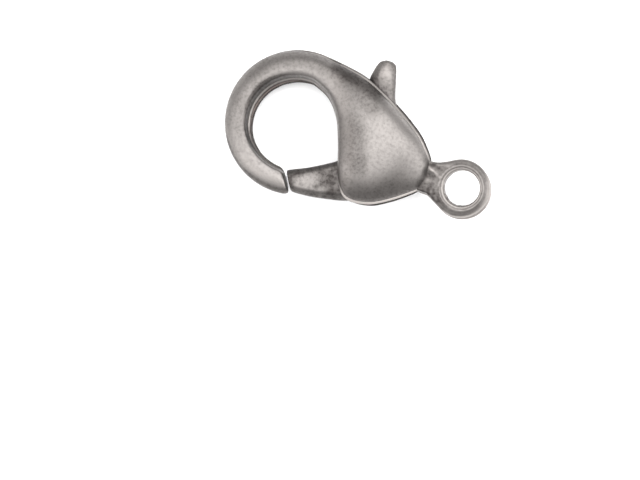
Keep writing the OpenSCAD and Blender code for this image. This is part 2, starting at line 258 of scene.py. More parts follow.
def hook_row(s, k):
    """Section of the hook at the share k of its length, from the pouch to the tip"""
    hook_r = s.eye_r + (s.hook_back_w + s.hook_tip_w) / 2
    eye_mid = Vector((-s.eye_x, s.eye_rise))
    hook_mid = Vector((
        hook_r - s.eye_x - s.eye_r - s.hook_far_w,
        s.eye_rise + (s.hook_back_w - s.hook_tip_w) / 2,
    ))
    a_in = math.pi / 2 + s.hook_turn * k
    a_out = math.pi / 2 + (s.hook_turn + TIP_ANGLE) * k
    away = Vector((math.cos(a_out), math.sin(a_out)))
    offset = hook_mid - eye_mid
    along = offset.dot(away)
    reach = along + math.sqrt(hook_r ** 2 - offset.length_squared + along ** 2)
    outer = eye_mid + away * (reach + FOLD_BULGE)
    filling = s.tip_fill * ease((k - FILL_START) / (1 - FILL_START))
    inner = eye_mid + (s.eye_r - filling) * Vector((math.cos(a_in), math.sin(a_in)))
    opening = ease(1 - k / SEAM_END)
    full, crest, back_lip = HOOK_FORM
    return [
        outer.x, outer.y, inner.x, inner.y, mix(s.hook_t, s.hook_tip_t, k) / 2,
        opening * s.seam_w * SEAM_SHARE, s.seam_w / 2, full, crest, opening * back_lip, 1.0, 0.0,
    ]


def pouch_row(s, p):
    """Section of the pouch from its row of shares"""
    back_h = s.eye_rise + s.eye_r + s.hook_back_w
    return [
        p[0] * s.eye_x, p[1] * back_h, p[2] * s.eye_x, p[3] * (s.eye_r if p[3] > 0 else s.belly_h),
        p[4] * s.pouch_t / 2, p[5] * s.slot_w / 2, p[6] * s.mouth_w / 2, *p[7:],
    ]


# The sheet's tail, which runs into the thick metal of the neck: distance from the ring's hole, half
# width and half thickness in mm, and its fullness
NECK_TAIL = ((1.90, 0.60, 0.30), (1.60, 0.45, 0.2))
NECK_FULL = 2.4


def neck_row(s, x, half_w, half_t):
    """Section of the sheet's tail"""
    return [-x, half_w - s.neck_drop, -x, -half_w - s.neck_drop, half_t,
            s.seam_w / 2, s.seam_w / 2, NECK_FULL, 0.0, 0.0, 0.0, 0.0]


TIP_STEPS = 6
HOOK_STEPS = 72
POUCH_STEPS = 10
# The hook's section just before the pouch, which only sets how the pouch's curve starts
LEAD_IN = 0.04


def body_rows(s):
    """All sections of the folded sheet, from the hook's tip to the neck"""
    tip = []
    for k in range(TIP_STEPS + 1):
        a = math.pi / 2 * k / TIP_STEPS
        row = hook_row(s, 1 - TIP_ROUND * (1 - math.cos(a)))
        tip.append(shrunk(row, mix(TIP_SIZE, 1, math.sin(a))))
    hook = [hook_row(s, (1 - TIP_ROUND) * (1 - k / HOOK_STEPS)) for k in range(1, HOOK_STEPS)]
    keys = [hook_row(s, LEAD_IN), hook_row(s, 0)] + [pouch_row(s, p) for p in POUCH]
    keys += [neck_row(s, x * MM, half_w * MM, half_t * MM) for x, half_w, half_t in NECK_TAIL]
    pouch = smoothed(keys, POUCH_STEPS)[POUCH_STEPS:]
    for row in pouch:
        for column in (BACK_LIP, FRONT_LIP, CAVITY):
            row[column] = min(max(row[column], 0), 1)
    return tip + hook + pouch


# Steps round a section of the upper wall: over its face, round each edge and back along the inside
FACE_STEPS = 54
LIP_STEPS = 8
INNER_STEPS = 18
AROUND = FACE_STEPS + 2 * LIP_STEPS + INNER_STEPS
# How much the face's steps crowd toward its edges
CROWDING = 0.35
# Height of the lips, how far they stand out, and the share of the width that they fade over
LIP_H = 0.08 * MM
LIP_OUT = 0.13 * MM
LIP_FADE = 0.3
# Fullness of the rounded edges, and the most of the width that the sheet's thickness takes
EDGE_FULL = 2.6
THICK_SHARE = 0.4
# How the lower half lies off the upper one, which leaves its edges showing on one side
HALF_SHIFT = Vector((0.14 * MM, -0.05 * MM))


def power(c, k):
    """A power that keeps the sign"""
    return math.copysign(abs(c) ** k, c)


def arch(turn, full):
    """Share across and share of the height of a squared ellipse, at turn from 0 to pi"""
    return (1 - power(math.cos(turn), 2 / full)) / 2, abs(math.sin(turn)) ** (2 / full)


def edge_round(row):
    """Radius of the sheet's rounded edges, larger where the wall is hollow"""
    return mix(0.07, 0.12, row[CAVITY]) * MM


def wall_point(s, row, j):
    """Point j of the upper wall's section: place across from the back edge, height, share across"""
    width = math.hypot(row[FX] - row[BX], row[FY] - row[BY])
    cavity = row[CAVITY]
    thick = min(mix(s.seam_depth, s.sheet_t, cavity), width * THICK_SHARE)
    open_back = min(row[BACK] / (SEAM_SHARE * s.seam_w), 1.0)
    back, front = row[BACK] + edge_round(row) * open_back, row[FRONT] + edge_round(row)

    def face(turn, half, start, end):
        w, lift = arch(turn, row[FULL])
        share = w + row[CREST] * w * (1 - w)
        edge = mix(back, front, w)
        return mix(start, end, share), edge + max(half - edge, 0) * lift, w

    def lip(t, bottom, top):
        w, dip = arch(math.pi * t, EDGE_FULL)
        reach = top if t < 0.5 else cavity * top
        return thick * w, reach + (bottom - reach) * dip

    if j <= FACE_STEPS:
        share = j / FACE_STEPS
        turn = math.pi * share - CROWDING * math.sin(2 * math.pi * share)
        across, z, w = face(turn, row[HALF], 0.0, width)
        if w < 0.5:
            over = ease((z - back) / LIP_H)
            across += row[BACK_LIP] * LIP_OUT * over * (1 - ease(w / LIP_FADE))
        else:
            over = ease((z - front) / LIP_H)
            across -= row[FRONT_LIP] * LIP_OUT * over * (1 - ease((1 - w) / LIP_FADE))
        return across, z, w
    j -= FACE_STEPS
    if j <= LIP_STEPS:
        across, z = lip(j / LIP_STEPS, row[FRONT], front)
        return width - across, z, 1.0
    j -= LIP_STEPS
    if j <= INNER_STEPS:
        turn = math.pi * (1 - j / INNER_STEPS)
        across, z, w = face(turn, row[HALF] - s.sheet_t, thick, width - thick)
        return across, z * cavity, w
    j -= INNER_STEPS
    across, z = lip(1 - j / LIP_STEPS, row[BACK], back)
    return across, z, 0.0


# Meshes


def bent_grid(bm, rows, columns, place):
    """A grid of rows by columns, each of its points moved to place(row, column)"""
    made = bmesh.ops.create_grid(bm, x_segments=rows - 1, y_segments=columns - 1, size=1)
    for v in made["verts"]:
        i = round((v.co.x + 1) / 2 * (rows - 1))
        j = round((v.co.y + 1) / 2 * (columns - 1))
        v.co = place(i, j, v)
    return made["verts"]


def mirrored_shell(bm, verts):
    """Closes a half that ends at the mid-plane with its mirror image"""
    bmesh.ops.remove_doubles(bm, verts=verts, dist=MERGE)
    flat = [f for f in bm.faces if all(abs(v.co.z) < MERGE for v in f.verts)]
    bmesh.ops.delete(bm, geom=flat, context="FACES")
    loose = [v for v in bm.verts if not v.link_faces]
    bmesh.ops.delete(bm, geom=loose, context="VERTS")
    geom = bm.verts[:] + bm.edges[:] + bm.faces[:]
    bmesh.ops.mirror(bm, geom=geom, matrix=Matrix.Identity(4), merge_dist=MERGE, axis="Z")
    bmesh.ops.remove_doubles(bm, verts=bm.verts, dist=MERGE)
    bmesh.ops.dissolve_degenerate(bm, dist=MERGE / 4, edges=bm.edges)


def close_ends(bm):
    """Fills the open ends with flat faces that have sharp rims"""
    rim = [e for e in bm.edges if e.is_boundary]
    made = bmesh.ops.holes_fill(bm, edges=rim, sides=0)
    for f in made["faces"]:
        for e in f.edges:
            e.smooth = False


def resting(s):
    """How the clasp lies: pitched about Y and rolled about X"""
    return Matrix.Rotation(-s.rest_pitch, 4, "Y") @ Matrix.Rotation(s.rest_roll, 4, "X")


def finish_mesh(bm, name, s, material):
    """Turns the finished shape to the way the clasp lies and makes an object of it"""
    bmesh.ops.recalc_face_normals(bm, faces=bm.faces)
    bmesh.ops.transform(bm, matrix=resting(s), verts=bm.verts)
    mesh = bpy.data.meshes.new(name)
    for f in bm.faces:
        f.smooth = True
    bm.to_mesh(mesh)
    bm.free()
    mesh.materials.append(material)
    piece = bpy.data.objects.new(name, mesh)
    bpy.context.scene.collection.objects.link(piece)
    return piece


def add_marks(bm):
    """Adds the layers of the marks"""
    return [bm.verts.layers.float.new(name) for name in MARKS]


def tint(v, marks, values):
    """Sets a point's marks"""
    for layer, value in zip(marks, values):
        v[layer] = min(max(value, 0.0), 1.0)


# Body

# How far each point of the sheet's upper and lower half slides, and over what height it sets in
SLIDES = ("upper_slide", "lower_slide")
SLIDE_H = 0.03 * MM


def slide_halves(bm, upper, lower):
    """Moves the upper and the lower points by their own vectors, then drops those layers"""
    for v in bm.verts:
        off = v[upper] if v.co.z > 0 else v[lower]
        v.co += off * ease(abs(v.co.z) / SLIDE_H)
    vectors = bm.verts.layers.float_vector
    for name in reversed(SLIDES):
        vectors.remove(vectors[name])


# Marks of the wall's inner side, which get painted shade inside the pouch, and the darkness (painted shade
# in the seam) and rubbing of the front and back edges
INNER_MARKS = (0.5, 0.0, 1.0)
EDGE_DARK = 0.85
EDGE_RUB = 0.3
# Angle round the eye where the hook's inner wall, darkened with patina and painted shade, is widest
WALL_WIDEST = 150
# Painted shade along the pouch's back slope in mm: from, to, width, darkness
DARK_LINES = (
    ((-8.3, 3.75), (-5.9, 3.20), 0.62, 0.85),
    ((-7.0, 2.98), (-5.7, 2.36), 0.48, 0.42),
)


def dark_edge(y):
    """Share of the hook's width that the painted shade on its outer edge takes"""
    return mix(0.16, 0.23, ease((-y - 2.7) / 0.6))


def hook_dark(x, y, share, on_hook, past, low):
    """Darkness of the hook's face: patina and painted shade on its steep inner wall, painted shade on its
    outer slopes; past is the angle in degrees past the wall's widest place
    """
    widest = bump(past, 57 if past > 0 else 36)
    wall = ease((share - mix(0.87, 0.61, widest)) / 0.07)
    return max(
        on_hook * mix(mix(0.22, 0.74, widest), 0.97, low) * wall,
        # Painted shade on the outer half of the hook by the pouch, its far side, its outer edge toward the
        # tip
        0.36 * on_hook * ease((0.72 - share) / 0.25) * ease((y - 0.6) / 1.5),
        0.26 * ease((-x - 10.6) / 0.8) * ease((y + 2.3) / 1.6),
        0.60 * on_hook * ease((dark_edge(y) - share) / 0.09) * ease((-y - 0.9) / 1.3),
    )


def pouch_dark(x, y, on_hook):
    """Painted shade on the pouch's face, with patina and painted shade in the fold by the neck"""
    # Painted shade: a broad strip along the mouth, which fades at both ends
    from_mouth = 0.94 * x + 0.34 * y + 6.57
    strip = ease(from_mouth / 0.35) * ease((1.95 - from_mouth) / 0.6) * (1 - on_hook)
    strip *= mix(0.55, 1, ease((from_mouth - 0.4) / 0.5))
    strip *= mix(0.35, 1, ease((2.0 - y) / 1.0)) * mix(0.4, 1, ease((y + 1.6) / 0.7))
    dark = 0.47 * strip
    for start, end, width, depth in DARK_LINES:
        dark = max(dark, depth * ridge(x, y, start, end, width))
    # Painted shade on the low side, apart from a painted highlight streak by the neck
    streak = spot(x, y, (-2.40, 0.10), (0.4, 0.5))
    from_low = -y - mix(0.6, -0.4, ease((x + 4.8) / 1.6))
    dark = max(dark, 0.54 * ease(from_low / 1.5) * (1 - on_hook) * (1 - 0.8 * streak))
    # Patina and painted shade in the fold by the neck, with a ragged border
    off_mid = ease((abs(y - 0.1) - 0.2) / 0.4)
    from_neck = x + mix(2.28, 2.65, off_mid) + 0.2 * noise.noise(Vector((x * 3, y * 3, 0.4)))
    return max(dark, 0.55 * ease(from_neck / mix(0.25, 0.5, off_mid)))


def sheet_marks(s, row, share, w, z, j):
    """How dark (patina and painted shade), how rubbed or lit by painted highlights, and how far inside a
    point of the folded sheet is
    """
    if FACE_STEPS + LIP_STEPS // 2 < j < AROUND - LIP_STEPS // 2:
        return INNER_MARKS
    x = (row[BX] + (row[FX] - row[BX]) * share) / MM
    y = (row[BY] + (row[FY] - row[BY]) * share) / MM
    on_hook = ease((-x - 7.9) / 1.0)
    round_eye = math.atan2(y - s.eye_rise / MM, x + s.eye_x / MM) % (2 * math.pi)
    past = math.degrees(round_eye) - WALL_WIDEST
    low = ease((past - 35) / 30)
    dark = max(hook_dark(x, y, share, on_hook, past, low), pouch_dark(x, y, on_hook))
    to_mouth = math.hypot(x - row[FX] / MM, y - row[FY] / MM)
    brown = (1 - on_hook) * ease((1.8 - to_mouth) / 0.8) * ease((-x - 5.2) / 0.8)

    # The lips get a painted highlight with rubbed wear along their tops, broadly on the pouch's low side,
    # and painted shadow below that
    side, lip = (FRONT, FRONT_LIP) if w > 0.5 else (BACK, BACK_LIP)
    up_lip = (z - row[side] - edge_round(row)) / LIP_H
    broadly = ease((0.5 - y) / 0.5) * (1 - on_hook) * (side == FRONT)
    by_tip = low * on_hook
    thin = bump(up_lip - mix(0.9, 1.15, by_tip), 0.45) * mix(0.36, 0.30, by_tip)
    broad = 0.9 * ease(up_lip / 0.3) * ease((1.5 - up_lip) / 0.5)
    broad *= mix(0.5, 1, ease((x + 5.8) / 0.6))
    rubbed_and_sheen = row[lip] * mix(thin, broad, broadly)
    under = ease((mix(0.5, 0.7, by_tip) - up_lip) / 0.3)
    dark = max(dark, 0.9 * row[lip] * under * (1 - broadly))

    # Painted highlight: the face near the tip is lightened where its curve shades it
    face_highlight = ease((share - dark_edge(y) + 0.04) / 0.14) * ease((0.66 - share) / 0.3)
    face_highlight *= ease((-y - 1.9) / 1.4)
    rubbed_and_sheen = max(rubbed_and_sheen, 0.30 * on_hook * face_highlight)
    # The edges' faces in the seam get painted shade and less rubbing
    if j > FACE_STEPS:
        rubbed_and_sheen *= EDGE_RUB
        dark = EDGE_DARK
    return dark * (1 - rubbed_and_sheen), rubbed_and_sheen, 0.10 * brown


# Neck and ring: a plate round the ring's hole. Its outline, in polar steps of degrees and radii
NECK_OUTLINE = (
    (-122, 1.55), (-128, 1.57), (-135, 1.62), (-142, 1.70), (-148, 1.80), (-152, 1.90),
    (-155, 2.10), (-158, 2.35), (-163, 2.55), (180, 2.60), (165, 2.55), (160, 2.40), (157.2, 2.14),
    (153, 1.92), (148.1, 1.77), (142, 1.67), (137, 1.61), (130, 1.565), (124, 1.55),
)
# Ring's profile from the seam in the hole to the top of the annulus: radius, height as a share of
# half the thickness, darkness and rubbing
COLLAR = (
    (0.985, 0.00, 0.2, 0.0), (0.955, 0.05, 0.2, 0.0), (0.950, 0.16, 0.1, 0.07),
    (0.950, 0.50, 0.0, 0.13), (0.958, 0.64, 0.0, 0.2), (0.980, 0.75, 0.0, 0.2),
    (1.010, 0.83, 0.0, 0.2), (1.045, 0.87, 0.1, 0.13), (1.080, 0.865, 0.4, 0.0),
    (1.105, 0.86, 0.7, 0.0), (1.130, 0.875, 0.6, 0.0), (1.155, 0.900, 0.3, 0.0),
    (1.185, 0.912, 0.1, 0.0), (1.215, 0.900, 0.3, 0.0), (1.245, 0.880, 0.5, 0.0),
    (1.280, 0.87, 0.6, 0.0),
)
# Steps over the annulus, between the collar and the rim
RIM_STEPS = 16
# From the outline inwards: distance from it and height as a share of half the thickness
RIM = (
    (0.26, 0.845), (0.17, 0.81), (0.10, 0.73), (0.05, 0.61), (0.018, 0.50), (0.002, 0.38),
    (0.0, 0.22), (0.008, 0.10), (0.03, 0.03), (0.07, 0.0),
)
RING_STEPS = 288
# Steps of the profile that the hole's burr takes, and the step from which the ring is lighter at the bottom
# and darker, mottled, on the lower left
BURR_STEPS = 6
SIDE_TONE_START = 8
# The most of half the ring's thickness that the neck's pressed marks rise to
PRESSED_TOP = 0.98
# The outline as a smooth curve, by angle
NECK_CURVE = smoothed(sorted((a % 360, r) for a, r in NECK_OUTLINE), 6)


def outline_radius(angle):
    """Radius of the plate's edge at an angle in degrees"""
    angle = min(max(angle % 360, NECK_CURVE[0][0]), NECK_CURVE[-1][0])
    for (a0, r0), (a1, r1) in zip(NECK_CURVE, NECK_CURVE[1:]):
        if angle <= a1:
            return mix(r0, r1, (angle - a0) / (a1 - a0)) * MM


def ring_profile(a, edge, j):
    """Radius, height share, darkness and rubbing at step j from the hole outwards, at angle a"""
    if j < len(COLLAR):
        radius, height, dark, rubbed_and_sheen = COLLAR[j]
        radius *= MM
        if j < BURR_STEPS:
            ragged = noise.noise(Vector((math.cos(a), math.sin(a), 3.1)) * 6) * 0.018 * MM
            # Dark ragged seam on the hole's lower side: a dark joint with painted shade
            burr = ease((-math.sin(a) - 0.1) / 0.6)
            shift = ragged * mix(1, 2.5, burr) - burr * 0.07 * MM
            radius += shift * (BURR_STEPS - j) / BURR_STEPS
            dark = mix(dark, 0.9, burr * ease(0.7 + noise.noise(Vector((5 * a, 0.7, 2.0)))))
        return radius, height, dark, rubbed_and_sheen
    k = j - len(COLLAR)
    if k < RIM_STEPS:
        t = (k + 1) / (RIM_STEPS + 1)
        radius = mix(COLLAR[-1][0] * MM, edge - RIM[0][0] * MM, t)
        x_side = edge / MM * math.cos(a)
        dark = 0.42 - 0.30 * ease(-math.sin(a)) + 0.20 * ease((-x_side - 1.3) / 0.3)
        return radius, mix(COLLAR[-1][1], RIM[0][1], t), dark, 0.0
    inwards, height = RIM[k - RIM_STEPS]
    dark = 0.44 * ease((height - 0.2) / 0.5)
    # Painted highlight along the rim, strongest on its side toward the light
    bright_side = ease((math.cos(a + math.radians(35)) + 0.1) / 0.6)
    rim_w = mix(0.08, 0.15, ease(math.cos(a)))
    rubbed_and_sheen = mix(0.07, 0.33, bright_side) * ease((rim_w - inwards) / 0.08)
    return edge - inwards * MM, height, dark, rubbed_and_sheen


def neck_marks(x, y):
    """Pressing marks on the neck, at x and y in mm: rise, groove and change of darkness from stains and
    painted shade
    """
    bend = (-1.45, 0.27)
    rise = 0.05 * max(
        ridge(x, y, (-1.18, 0.10), bend, 0.08), ridge(x, y, bend, (-1.85, 0.40), 0.08),
    )
    rise += 0.08 * ridge(x, y, (-1.70, 0.37), (-1.92, 0.45), 0.10)
    rise += 0.035 * bump(math.hypot(x + 1.78, y + 0.18), 0.16)
    groove = 0.12 * spot(x, y, (-1.85, 0.06), (0.4, 0.15))
    stain_and_shade = 0.35 * noise.noise(Vector((x * 4, y * 4, 1.7))) * ease((-x - 1.3) / 0.2)
    # Painted shade in the groove
    stain_and_shade += 0.20 * spot(x, y, (-1.75, 0.05), (0.5, 0.16))
    stain_and_shade += 0.35 * spot(x, y, (-1.80, 0.64), (0.3, 0.18))
    stain_and_shade += 0.15 * ease((-x - 1.4) / 0.2) * ease((0.1 - y) / 0.2)
    return rise, groove, stain_and_shade


def plate_point(s, i, j):
    """Point of the ring and neck, with its marks: i steps round the hole, j outwards from it"""
    angle = 360 * i / (RING_STEPS - 1)
    a = math.radians(angle)
    radius, height, dark, rubbed_and_sheen = ring_profile(a, outline_radius(angle), j)
    x, y = radius * math.cos(a), radius * math.sin(a)
    if j >= SIDE_TONE_START:
        # Lighter at the bottom, darker and mottled on the lower left
        dark *= mix(0.85, 0.62, bump(angle - 290, 35))
        mottled = 0.88 + 0.5 * noise.noise(Vector((x * 5 / MM, y * 5 / MM, 2.6)))
        low_left = bump(angle - 226, 38) * ease((radius / MM - 1.14) / 0.06)
        dark = max(dark, mottled * low_left * ease((height - 0.45) / 0.25))
    if j >= len(COLLAR) - 2 and height > 0.6:
        rise, groove, stain_and_shade = neck_marks(x / MM, y / MM)
        height = min(height + (rise - groove), PRESSED_TOP)
        rubbed_and_sheen = max(rubbed_and_sheen, 2.6 * rise)
        dark = (dark + stain_and_shade) * (1 - min(rubbed_and_sheen, 1))
    return Vector((x, y, height * s.ring_t / 2)), (dark, rubbed_and_sheen, 0.0)


# How far the outer edges of the ring's upper and lower layer lie off from each other, and the
# height and width that this sets in over
UPPER_SHIFT = Vector((-0.05 * MM, 0.03 * MM, 0.0))
LOWER_SHIFT = Vector((0.03 * MM, -0.035 * MM, 0.0))
SHIFT_H = 0.06 * MM
SHIFT_W = 0.5 * MM


def build_plate(s):
    """Mesh of the ring and the neck"""
    bm = bmesh.new()
    marks = add_marks(bm)

    def place(i, j, v):
        point, values = plate_point(s, i, j)
        tint(v, marks, values)
        return point

    verts = bent_grid(bm, RING_STEPS, len(COLLAR) + RIM_STEPS + len(RIM), place)
    mirrored_shell(bm, verts)
    for v in bm.verts:
        outer = ease((v.co.xy.length - s.ring_hole_r) / SHIFT_W)
        v.co += (UPPER_SHIFT if v.co.z > 0 else LOWER_SHIFT) * outer * ease(abs(v.co.z) / SHIFT_H)
        v.co.y -= s.neck_drop * outer
    bmesh.ops.recalc_face_normals(bm, faces=bm.faces)
    mesh = bpy.data.meshes.new("ring_plate")
    bm.to_mesh(mesh)
    bm.free()
    return mesh


def build_body(s, material):
    """The folded sheet, hook and pouch, with the ring and neck in the same mesh"""
    rows = body_rows(s)
    bm = bmesh.new()
    add_marks(bm)
    for name in SLIDES:
        bm.verts.layers.float_vector.new(name)
    slides = [bm.verts.layers.float_vector[name] for name in SLIDES]
    marks = [bm.verts.layers.float[name] for name in MARKS]

    def place(i, j, v):
        row = rows[i]
        back, front = Vector((row[BX], row[BY])), Vector((row[FX], row[FY]))
        outwards = (front - back).normalized()
        across, z, w = wall_point(s, row, j % AROUND)
        point = back + outwards * across
        tint(v, marks, sheet_marks(s, row, across / (front - back).length, w, z, j % AROUND))
        at_front, at_back = ease((w - 0.35) / 0.6), ease((0.6 - w) / 0.6) * row[BACK_LIP]
        lean = outwards.dot(HALF_SHIFT)
        for slide, side in zip(slides, (1, -1)):
            pulled = max(side * lean, 0) * at_front
            pushed = max(-side * lean, 0) * at_back
            v[slide] = (outwards * (pushed - pulled)).to_3d()
        return Vector((point.x, point.y, max(z, 0.0)))

    verts = bent_grid(bm, len(rows), AROUND + 1, place)
    mirrored_shell(bm, verts)
    slide_halves(bm, *slides)
    close_ends(bm)
    plate = build_plate(s)
    bmesh.ops.recalc_face_normals(bm, faces=bm.faces)
    bm.from_mesh(plate)
    bpy.data.meshes.remove(plate)
    return finish_mesh(bm, "clasp_body", s, material)


# Lever

# Gate rows from its end to the mouth: lower edge along as a share of the gate's reach and up of
# gate_w, upper edge the same, thickness
GATE = (
    (0.995, -0.36, 0.988, 0.46, 0.80), (0.970, -0.51, 0.966, 0.55, 1.00),
    (0.800, -0.88, 0.752, 0.45, 1.00), (0.615, -1.19, 0.520, 0.43, 1.00),
    (0.460, -1.40, 0.410, 0.47, 1.00), (0.280, -1.47, 0.330, 0.58, 1.00),
)
# Hub rows as shares of hub_r from the pivot: right edge, left edge, thickness
HUB = (
    (-0.05, -1.50, -1.20, 0.10, 1.00), (0.75, -0.75, -1.05, 0.90, 1.00),
    (1.02, 0.35, -1.15, 1.70, 0.95),
)
# Trigger rows: right edge along as a share of its reach and across of trigger_w, left, thickness
TRIGGER = (
    (0.303, 0.84, 0.540, -0.62, 1.00), (0.533, 0.55, 0.686, -0.81, 1.00),
    (0.637, 0.42, 0.795, -0.86, 1.00), (0.815, 0.38, 0.908, -0.66, 0.98),
    (0.945, 0.33, 0.978, -0.44, 0.85), (0.990, 0.13, 1.000, -0.17, 0.50),
)
# Upper half of the lever's section: shares of the bevel from the edge and of the half thickness
BEVEL = (
    (0.00, 0.00), (0.00, 0.12), (0.00, 0.24), (0.01, 0.34), (0.03, 0.42), (0.07, 0.50),
    (0.14, 0.585), (0.24, 0.675), (0.36, 0.76), (0.49, 0.84), (0.61, 0.90), (0.73, 0.945),
    (0.86, 0.975), (1.00, 0.99),
)
# Widths of the bevels along the gate and the trigger, the share of the lever's length where the one
# turns into the other, and the most of the width that a bevel takes
GATE_BEVEL = 0.40 * MM
TRIGGER_BEVEL = 0.46 * MM
BEVEL_CHANGE = (0.60, 0.15)
BEVEL_SHARE = 0.46
LEVER_STEPS = 9
FLAT_STEPS = 12
# How far the flat between the bevels still rises, as a share of half the thickness
CROWN = 0.01


def lever_rows(s):
    """Lever's sections from the gate's end to the trigger's top: both edges and half thickness"""
    pivot = Vector((-s.pivot_x, -s.pivot_drop))
    tip = hook_row(s, 1)
    gate_end = math.pi / 2 + s.hook_turn
    eye = Vector((-s.eye_x, s.eye_rise))
    inner = eye + s.eye_r * Vector((math.cos(gate_end), math.sin(gate_end)))
    tip_mid = (Vector((tip[BX], tip[BY])) + inner) / 2
    reach = (tip_mid - pivot).length - s.gate_gap
    gate_dir = (tip_mid - pivot).normalized()
    gate_up = Vector((gate_dir.y, -gate_dir.x))
    trigger_dir = Vector((math.cos(s.trigger_angle), math.sin(s.trigger_angle)))
    trigger_right = Vector((trigger_dir.y, -trigger_dir.x))
    keys = []
    for a, b, c, d, t in GATE:
        low = pivot + a * reach * gate_dir + b * s.gate_w * gate_up
        high = pivot + c * reach * gate_dir + d * s.gate_w * gate_up
        keys.append([high.x, high.y, low.x, low.y, t * s.gate_t / 2])
    for a, b, c, d, t in HUB:
        right, left = pivot + Vector((a, b)) * s.hub_r, pivot + Vector((c, d)) * s.hub_r
        keys.append([left.x, left.y, right.x, right.y, t * s.gate_t / 2])
    for a, b, c, d, t in TRIGGER:
        right = pivot + a * s.trigger_reach * trigger_dir + b * s.trigger_w * trigger_right
        left = pivot + c * s.trigger_reach * trigger_dir + d * s.trigger_w * trigger_right
        keys.append([left.x, left.y, right.x, right.y, t * s.trigger_t / 2])
    return smoothed(keys, LEVER_STEPS)


def lever_marks(x, y, along, centre, slope, from_end, from_top):
    """Marks of the lever at x and y, in mm: along and centre are shares of its length and width,
    slope is how far down the bevel the point lies, and the last two are distances from its ends"""
    on_gate = ease((0.5 - along) / 0.1)
    patch = ease(1.6 - math.hypot((x + 7.98) / 0.66, (centre - 0.05) / 0.27))
    patch = max(patch, 0.8 * spot(x, centre, (-7.1, 0.26), (0.5, 0.12)))
    worn = noise.noise(Vector((x * 3, y * 3, 5.3)))
    dark = max(
        # The gate's face with its bright patch, then painted shade at the two ends
        mix(0.70 + 0.25 * worn, 0.06, patch) * on_gate * (1 - 0.45 * slope),
        0.65 * ease((0.45 - from_end) / 0.3),
        0.40 * ease((0.62 - from_top) / 0.35),
        # Painted shade on the trigger where it runs under the lip by the slot
        0.55 * spot(x, y, (-5.60, 3.40), (0.60, 0.50)) * (1 - on_gate),
        0.85 * spot(x, y, (-6.35, 3.75), (0.55, 1.0)),
        # Painted shade on the bevels, with patina
        0.55 * slope * on_gate,
        0.36 * slope,
    )
    # Painted highlight near the trigger's top
    rubbed_and_sheen = 0.13 * spot(x, y, (-5.95, 4.33), (0.28, 0.42)) * (1 - slope)
    return dark * (1 - rubbed_and_sheen), rubbed_and_sheen, 0.0


def combine(piece, operation, tool):
    """Joins the tool to the piece or cuts it out, and removes the tool"""
    change = piece.modifiers.new(operation.title(), "BOOLEAN")
    change.operation = operation
    change.solver = "EXACT"
    change.object = tool
    bpy.context.view_layer.update()
    depsgraph = bpy.context.evaluated_depsgraph_get()
    made = bpy.data.meshes.new_from_object(piece.evaluated_get(depsgraph))
    piece.modifiers.clear()
    old = piece.data
    piece.data = made
    bpy.data.meshes.remove(old)
    bpy.data.objects.remove(tool)


def hub_cylinder(s, radius, depth, rounding):
    """A cylinder on the pivot, its rims rounded unless the rounding is 0"""
    bm = bmesh.new()
    bmesh.ops.create_cone(
        bm, cap_ends=True, segments=96, radius1=radius, radius2=radius, depth=depth,
        matrix=Matrix.Translation((-s.pivot_x, -s.pivot_drop, 0)),
    )
    if rounding:
        rims = [e for e in bm.edges if abs(abs(e.verts[0].co.z) - depth / 2) < MERGE
                and abs(e.verts[0].co.z - e.verts[1].co.z) < MERGE]
        bmesh.ops.bevel(
            bm, geom=rims, offset=rounding, segments=3, profile=0.5, affect="EDGES", material=-1,
        )
    return bm


BOSS_ROUND = 0.05 * MM


def build_lever(s, material):
    """Gate, hub and trigger in one, with the bosses and the bore"""
    rows = lever_rows(s)
    bm = bmesh.new()
    marks = add_marks(bm)
    columns = 2 * len(BEVEL) + FLAT_STEPS - 1
    last = columns - 1
    end, top = (
        Vector(((row[0] + row[2]) / 2, (row[1] + row[3]) / 2)) for row in (rows[0], rows[-1])
    )

    def place(i, j, v):
        row = rows[i]
        left, right = Vector((row[0], row[1])), Vector((row[2], row[3]))
        width = (right - left).length
        along = i / (len(rows) - 1)
        change_at, change_over = BEVEL_CHANGE
        bevel = mix(GATE_BEVEL, TRIGGER_BEVEL, ease((along - change_at) / change_over))
        bevel = min(bevel, BEVEL_SHARE * width)
        side = min(j, last - j)
        if side < len(BEVEL):
            inwards, height = BEVEL[side]
            across = inwards * bevel
            across = across if j < last / 2 else width - across
        else:
            t = (j - len(BEVEL) + 1) / FLAT_STEPS
            across = mix(bevel, width - bevel, t)
            height = BEVEL[-1][1] + CROWN * math.sin(math.pi * t)
        point = left + (right - left).normalized() * across
        slope = ease((0.985 - height) / 0.25)
        centre = (point - left).length / width - 0.5
        middle_x, middle_y = (row[0] + row[2]) / 2, (row[1] + row[3]) / 2
        from_end, from_top = (math.hypot(middle_x - p.x, middle_y - p.y) / MM for p in (end, top))
        x, y = point.x / MM, point.y / MM
        tint(v, marks, lever_marks(x, y, along, centre, slope, from_end, from_top))
        return Vector((point.x, point.y, height * row[4]))

    verts = bent_grid(bm, len(rows), columns, place)
    mirrored_shell(bm, verts)
    close_ends(bm)
    piece = finish_mesh(bm, "gate_lever", s, material)
    for operation, radius, depth, rounding in (
        ("UNION", s.boss_r, s.boss_h, BOSS_ROUND), ("DIFFERENCE", s.bore_r, s.boss_h * 2, 0),
    ):
        tool = finish_mesh(hub_cylinder(s, radius, depth, rounding), "lever_cutter", s, material)
        combine(piece, operation, tool)
    piece.data.name = "gate_lever"
    return piece


# Spring

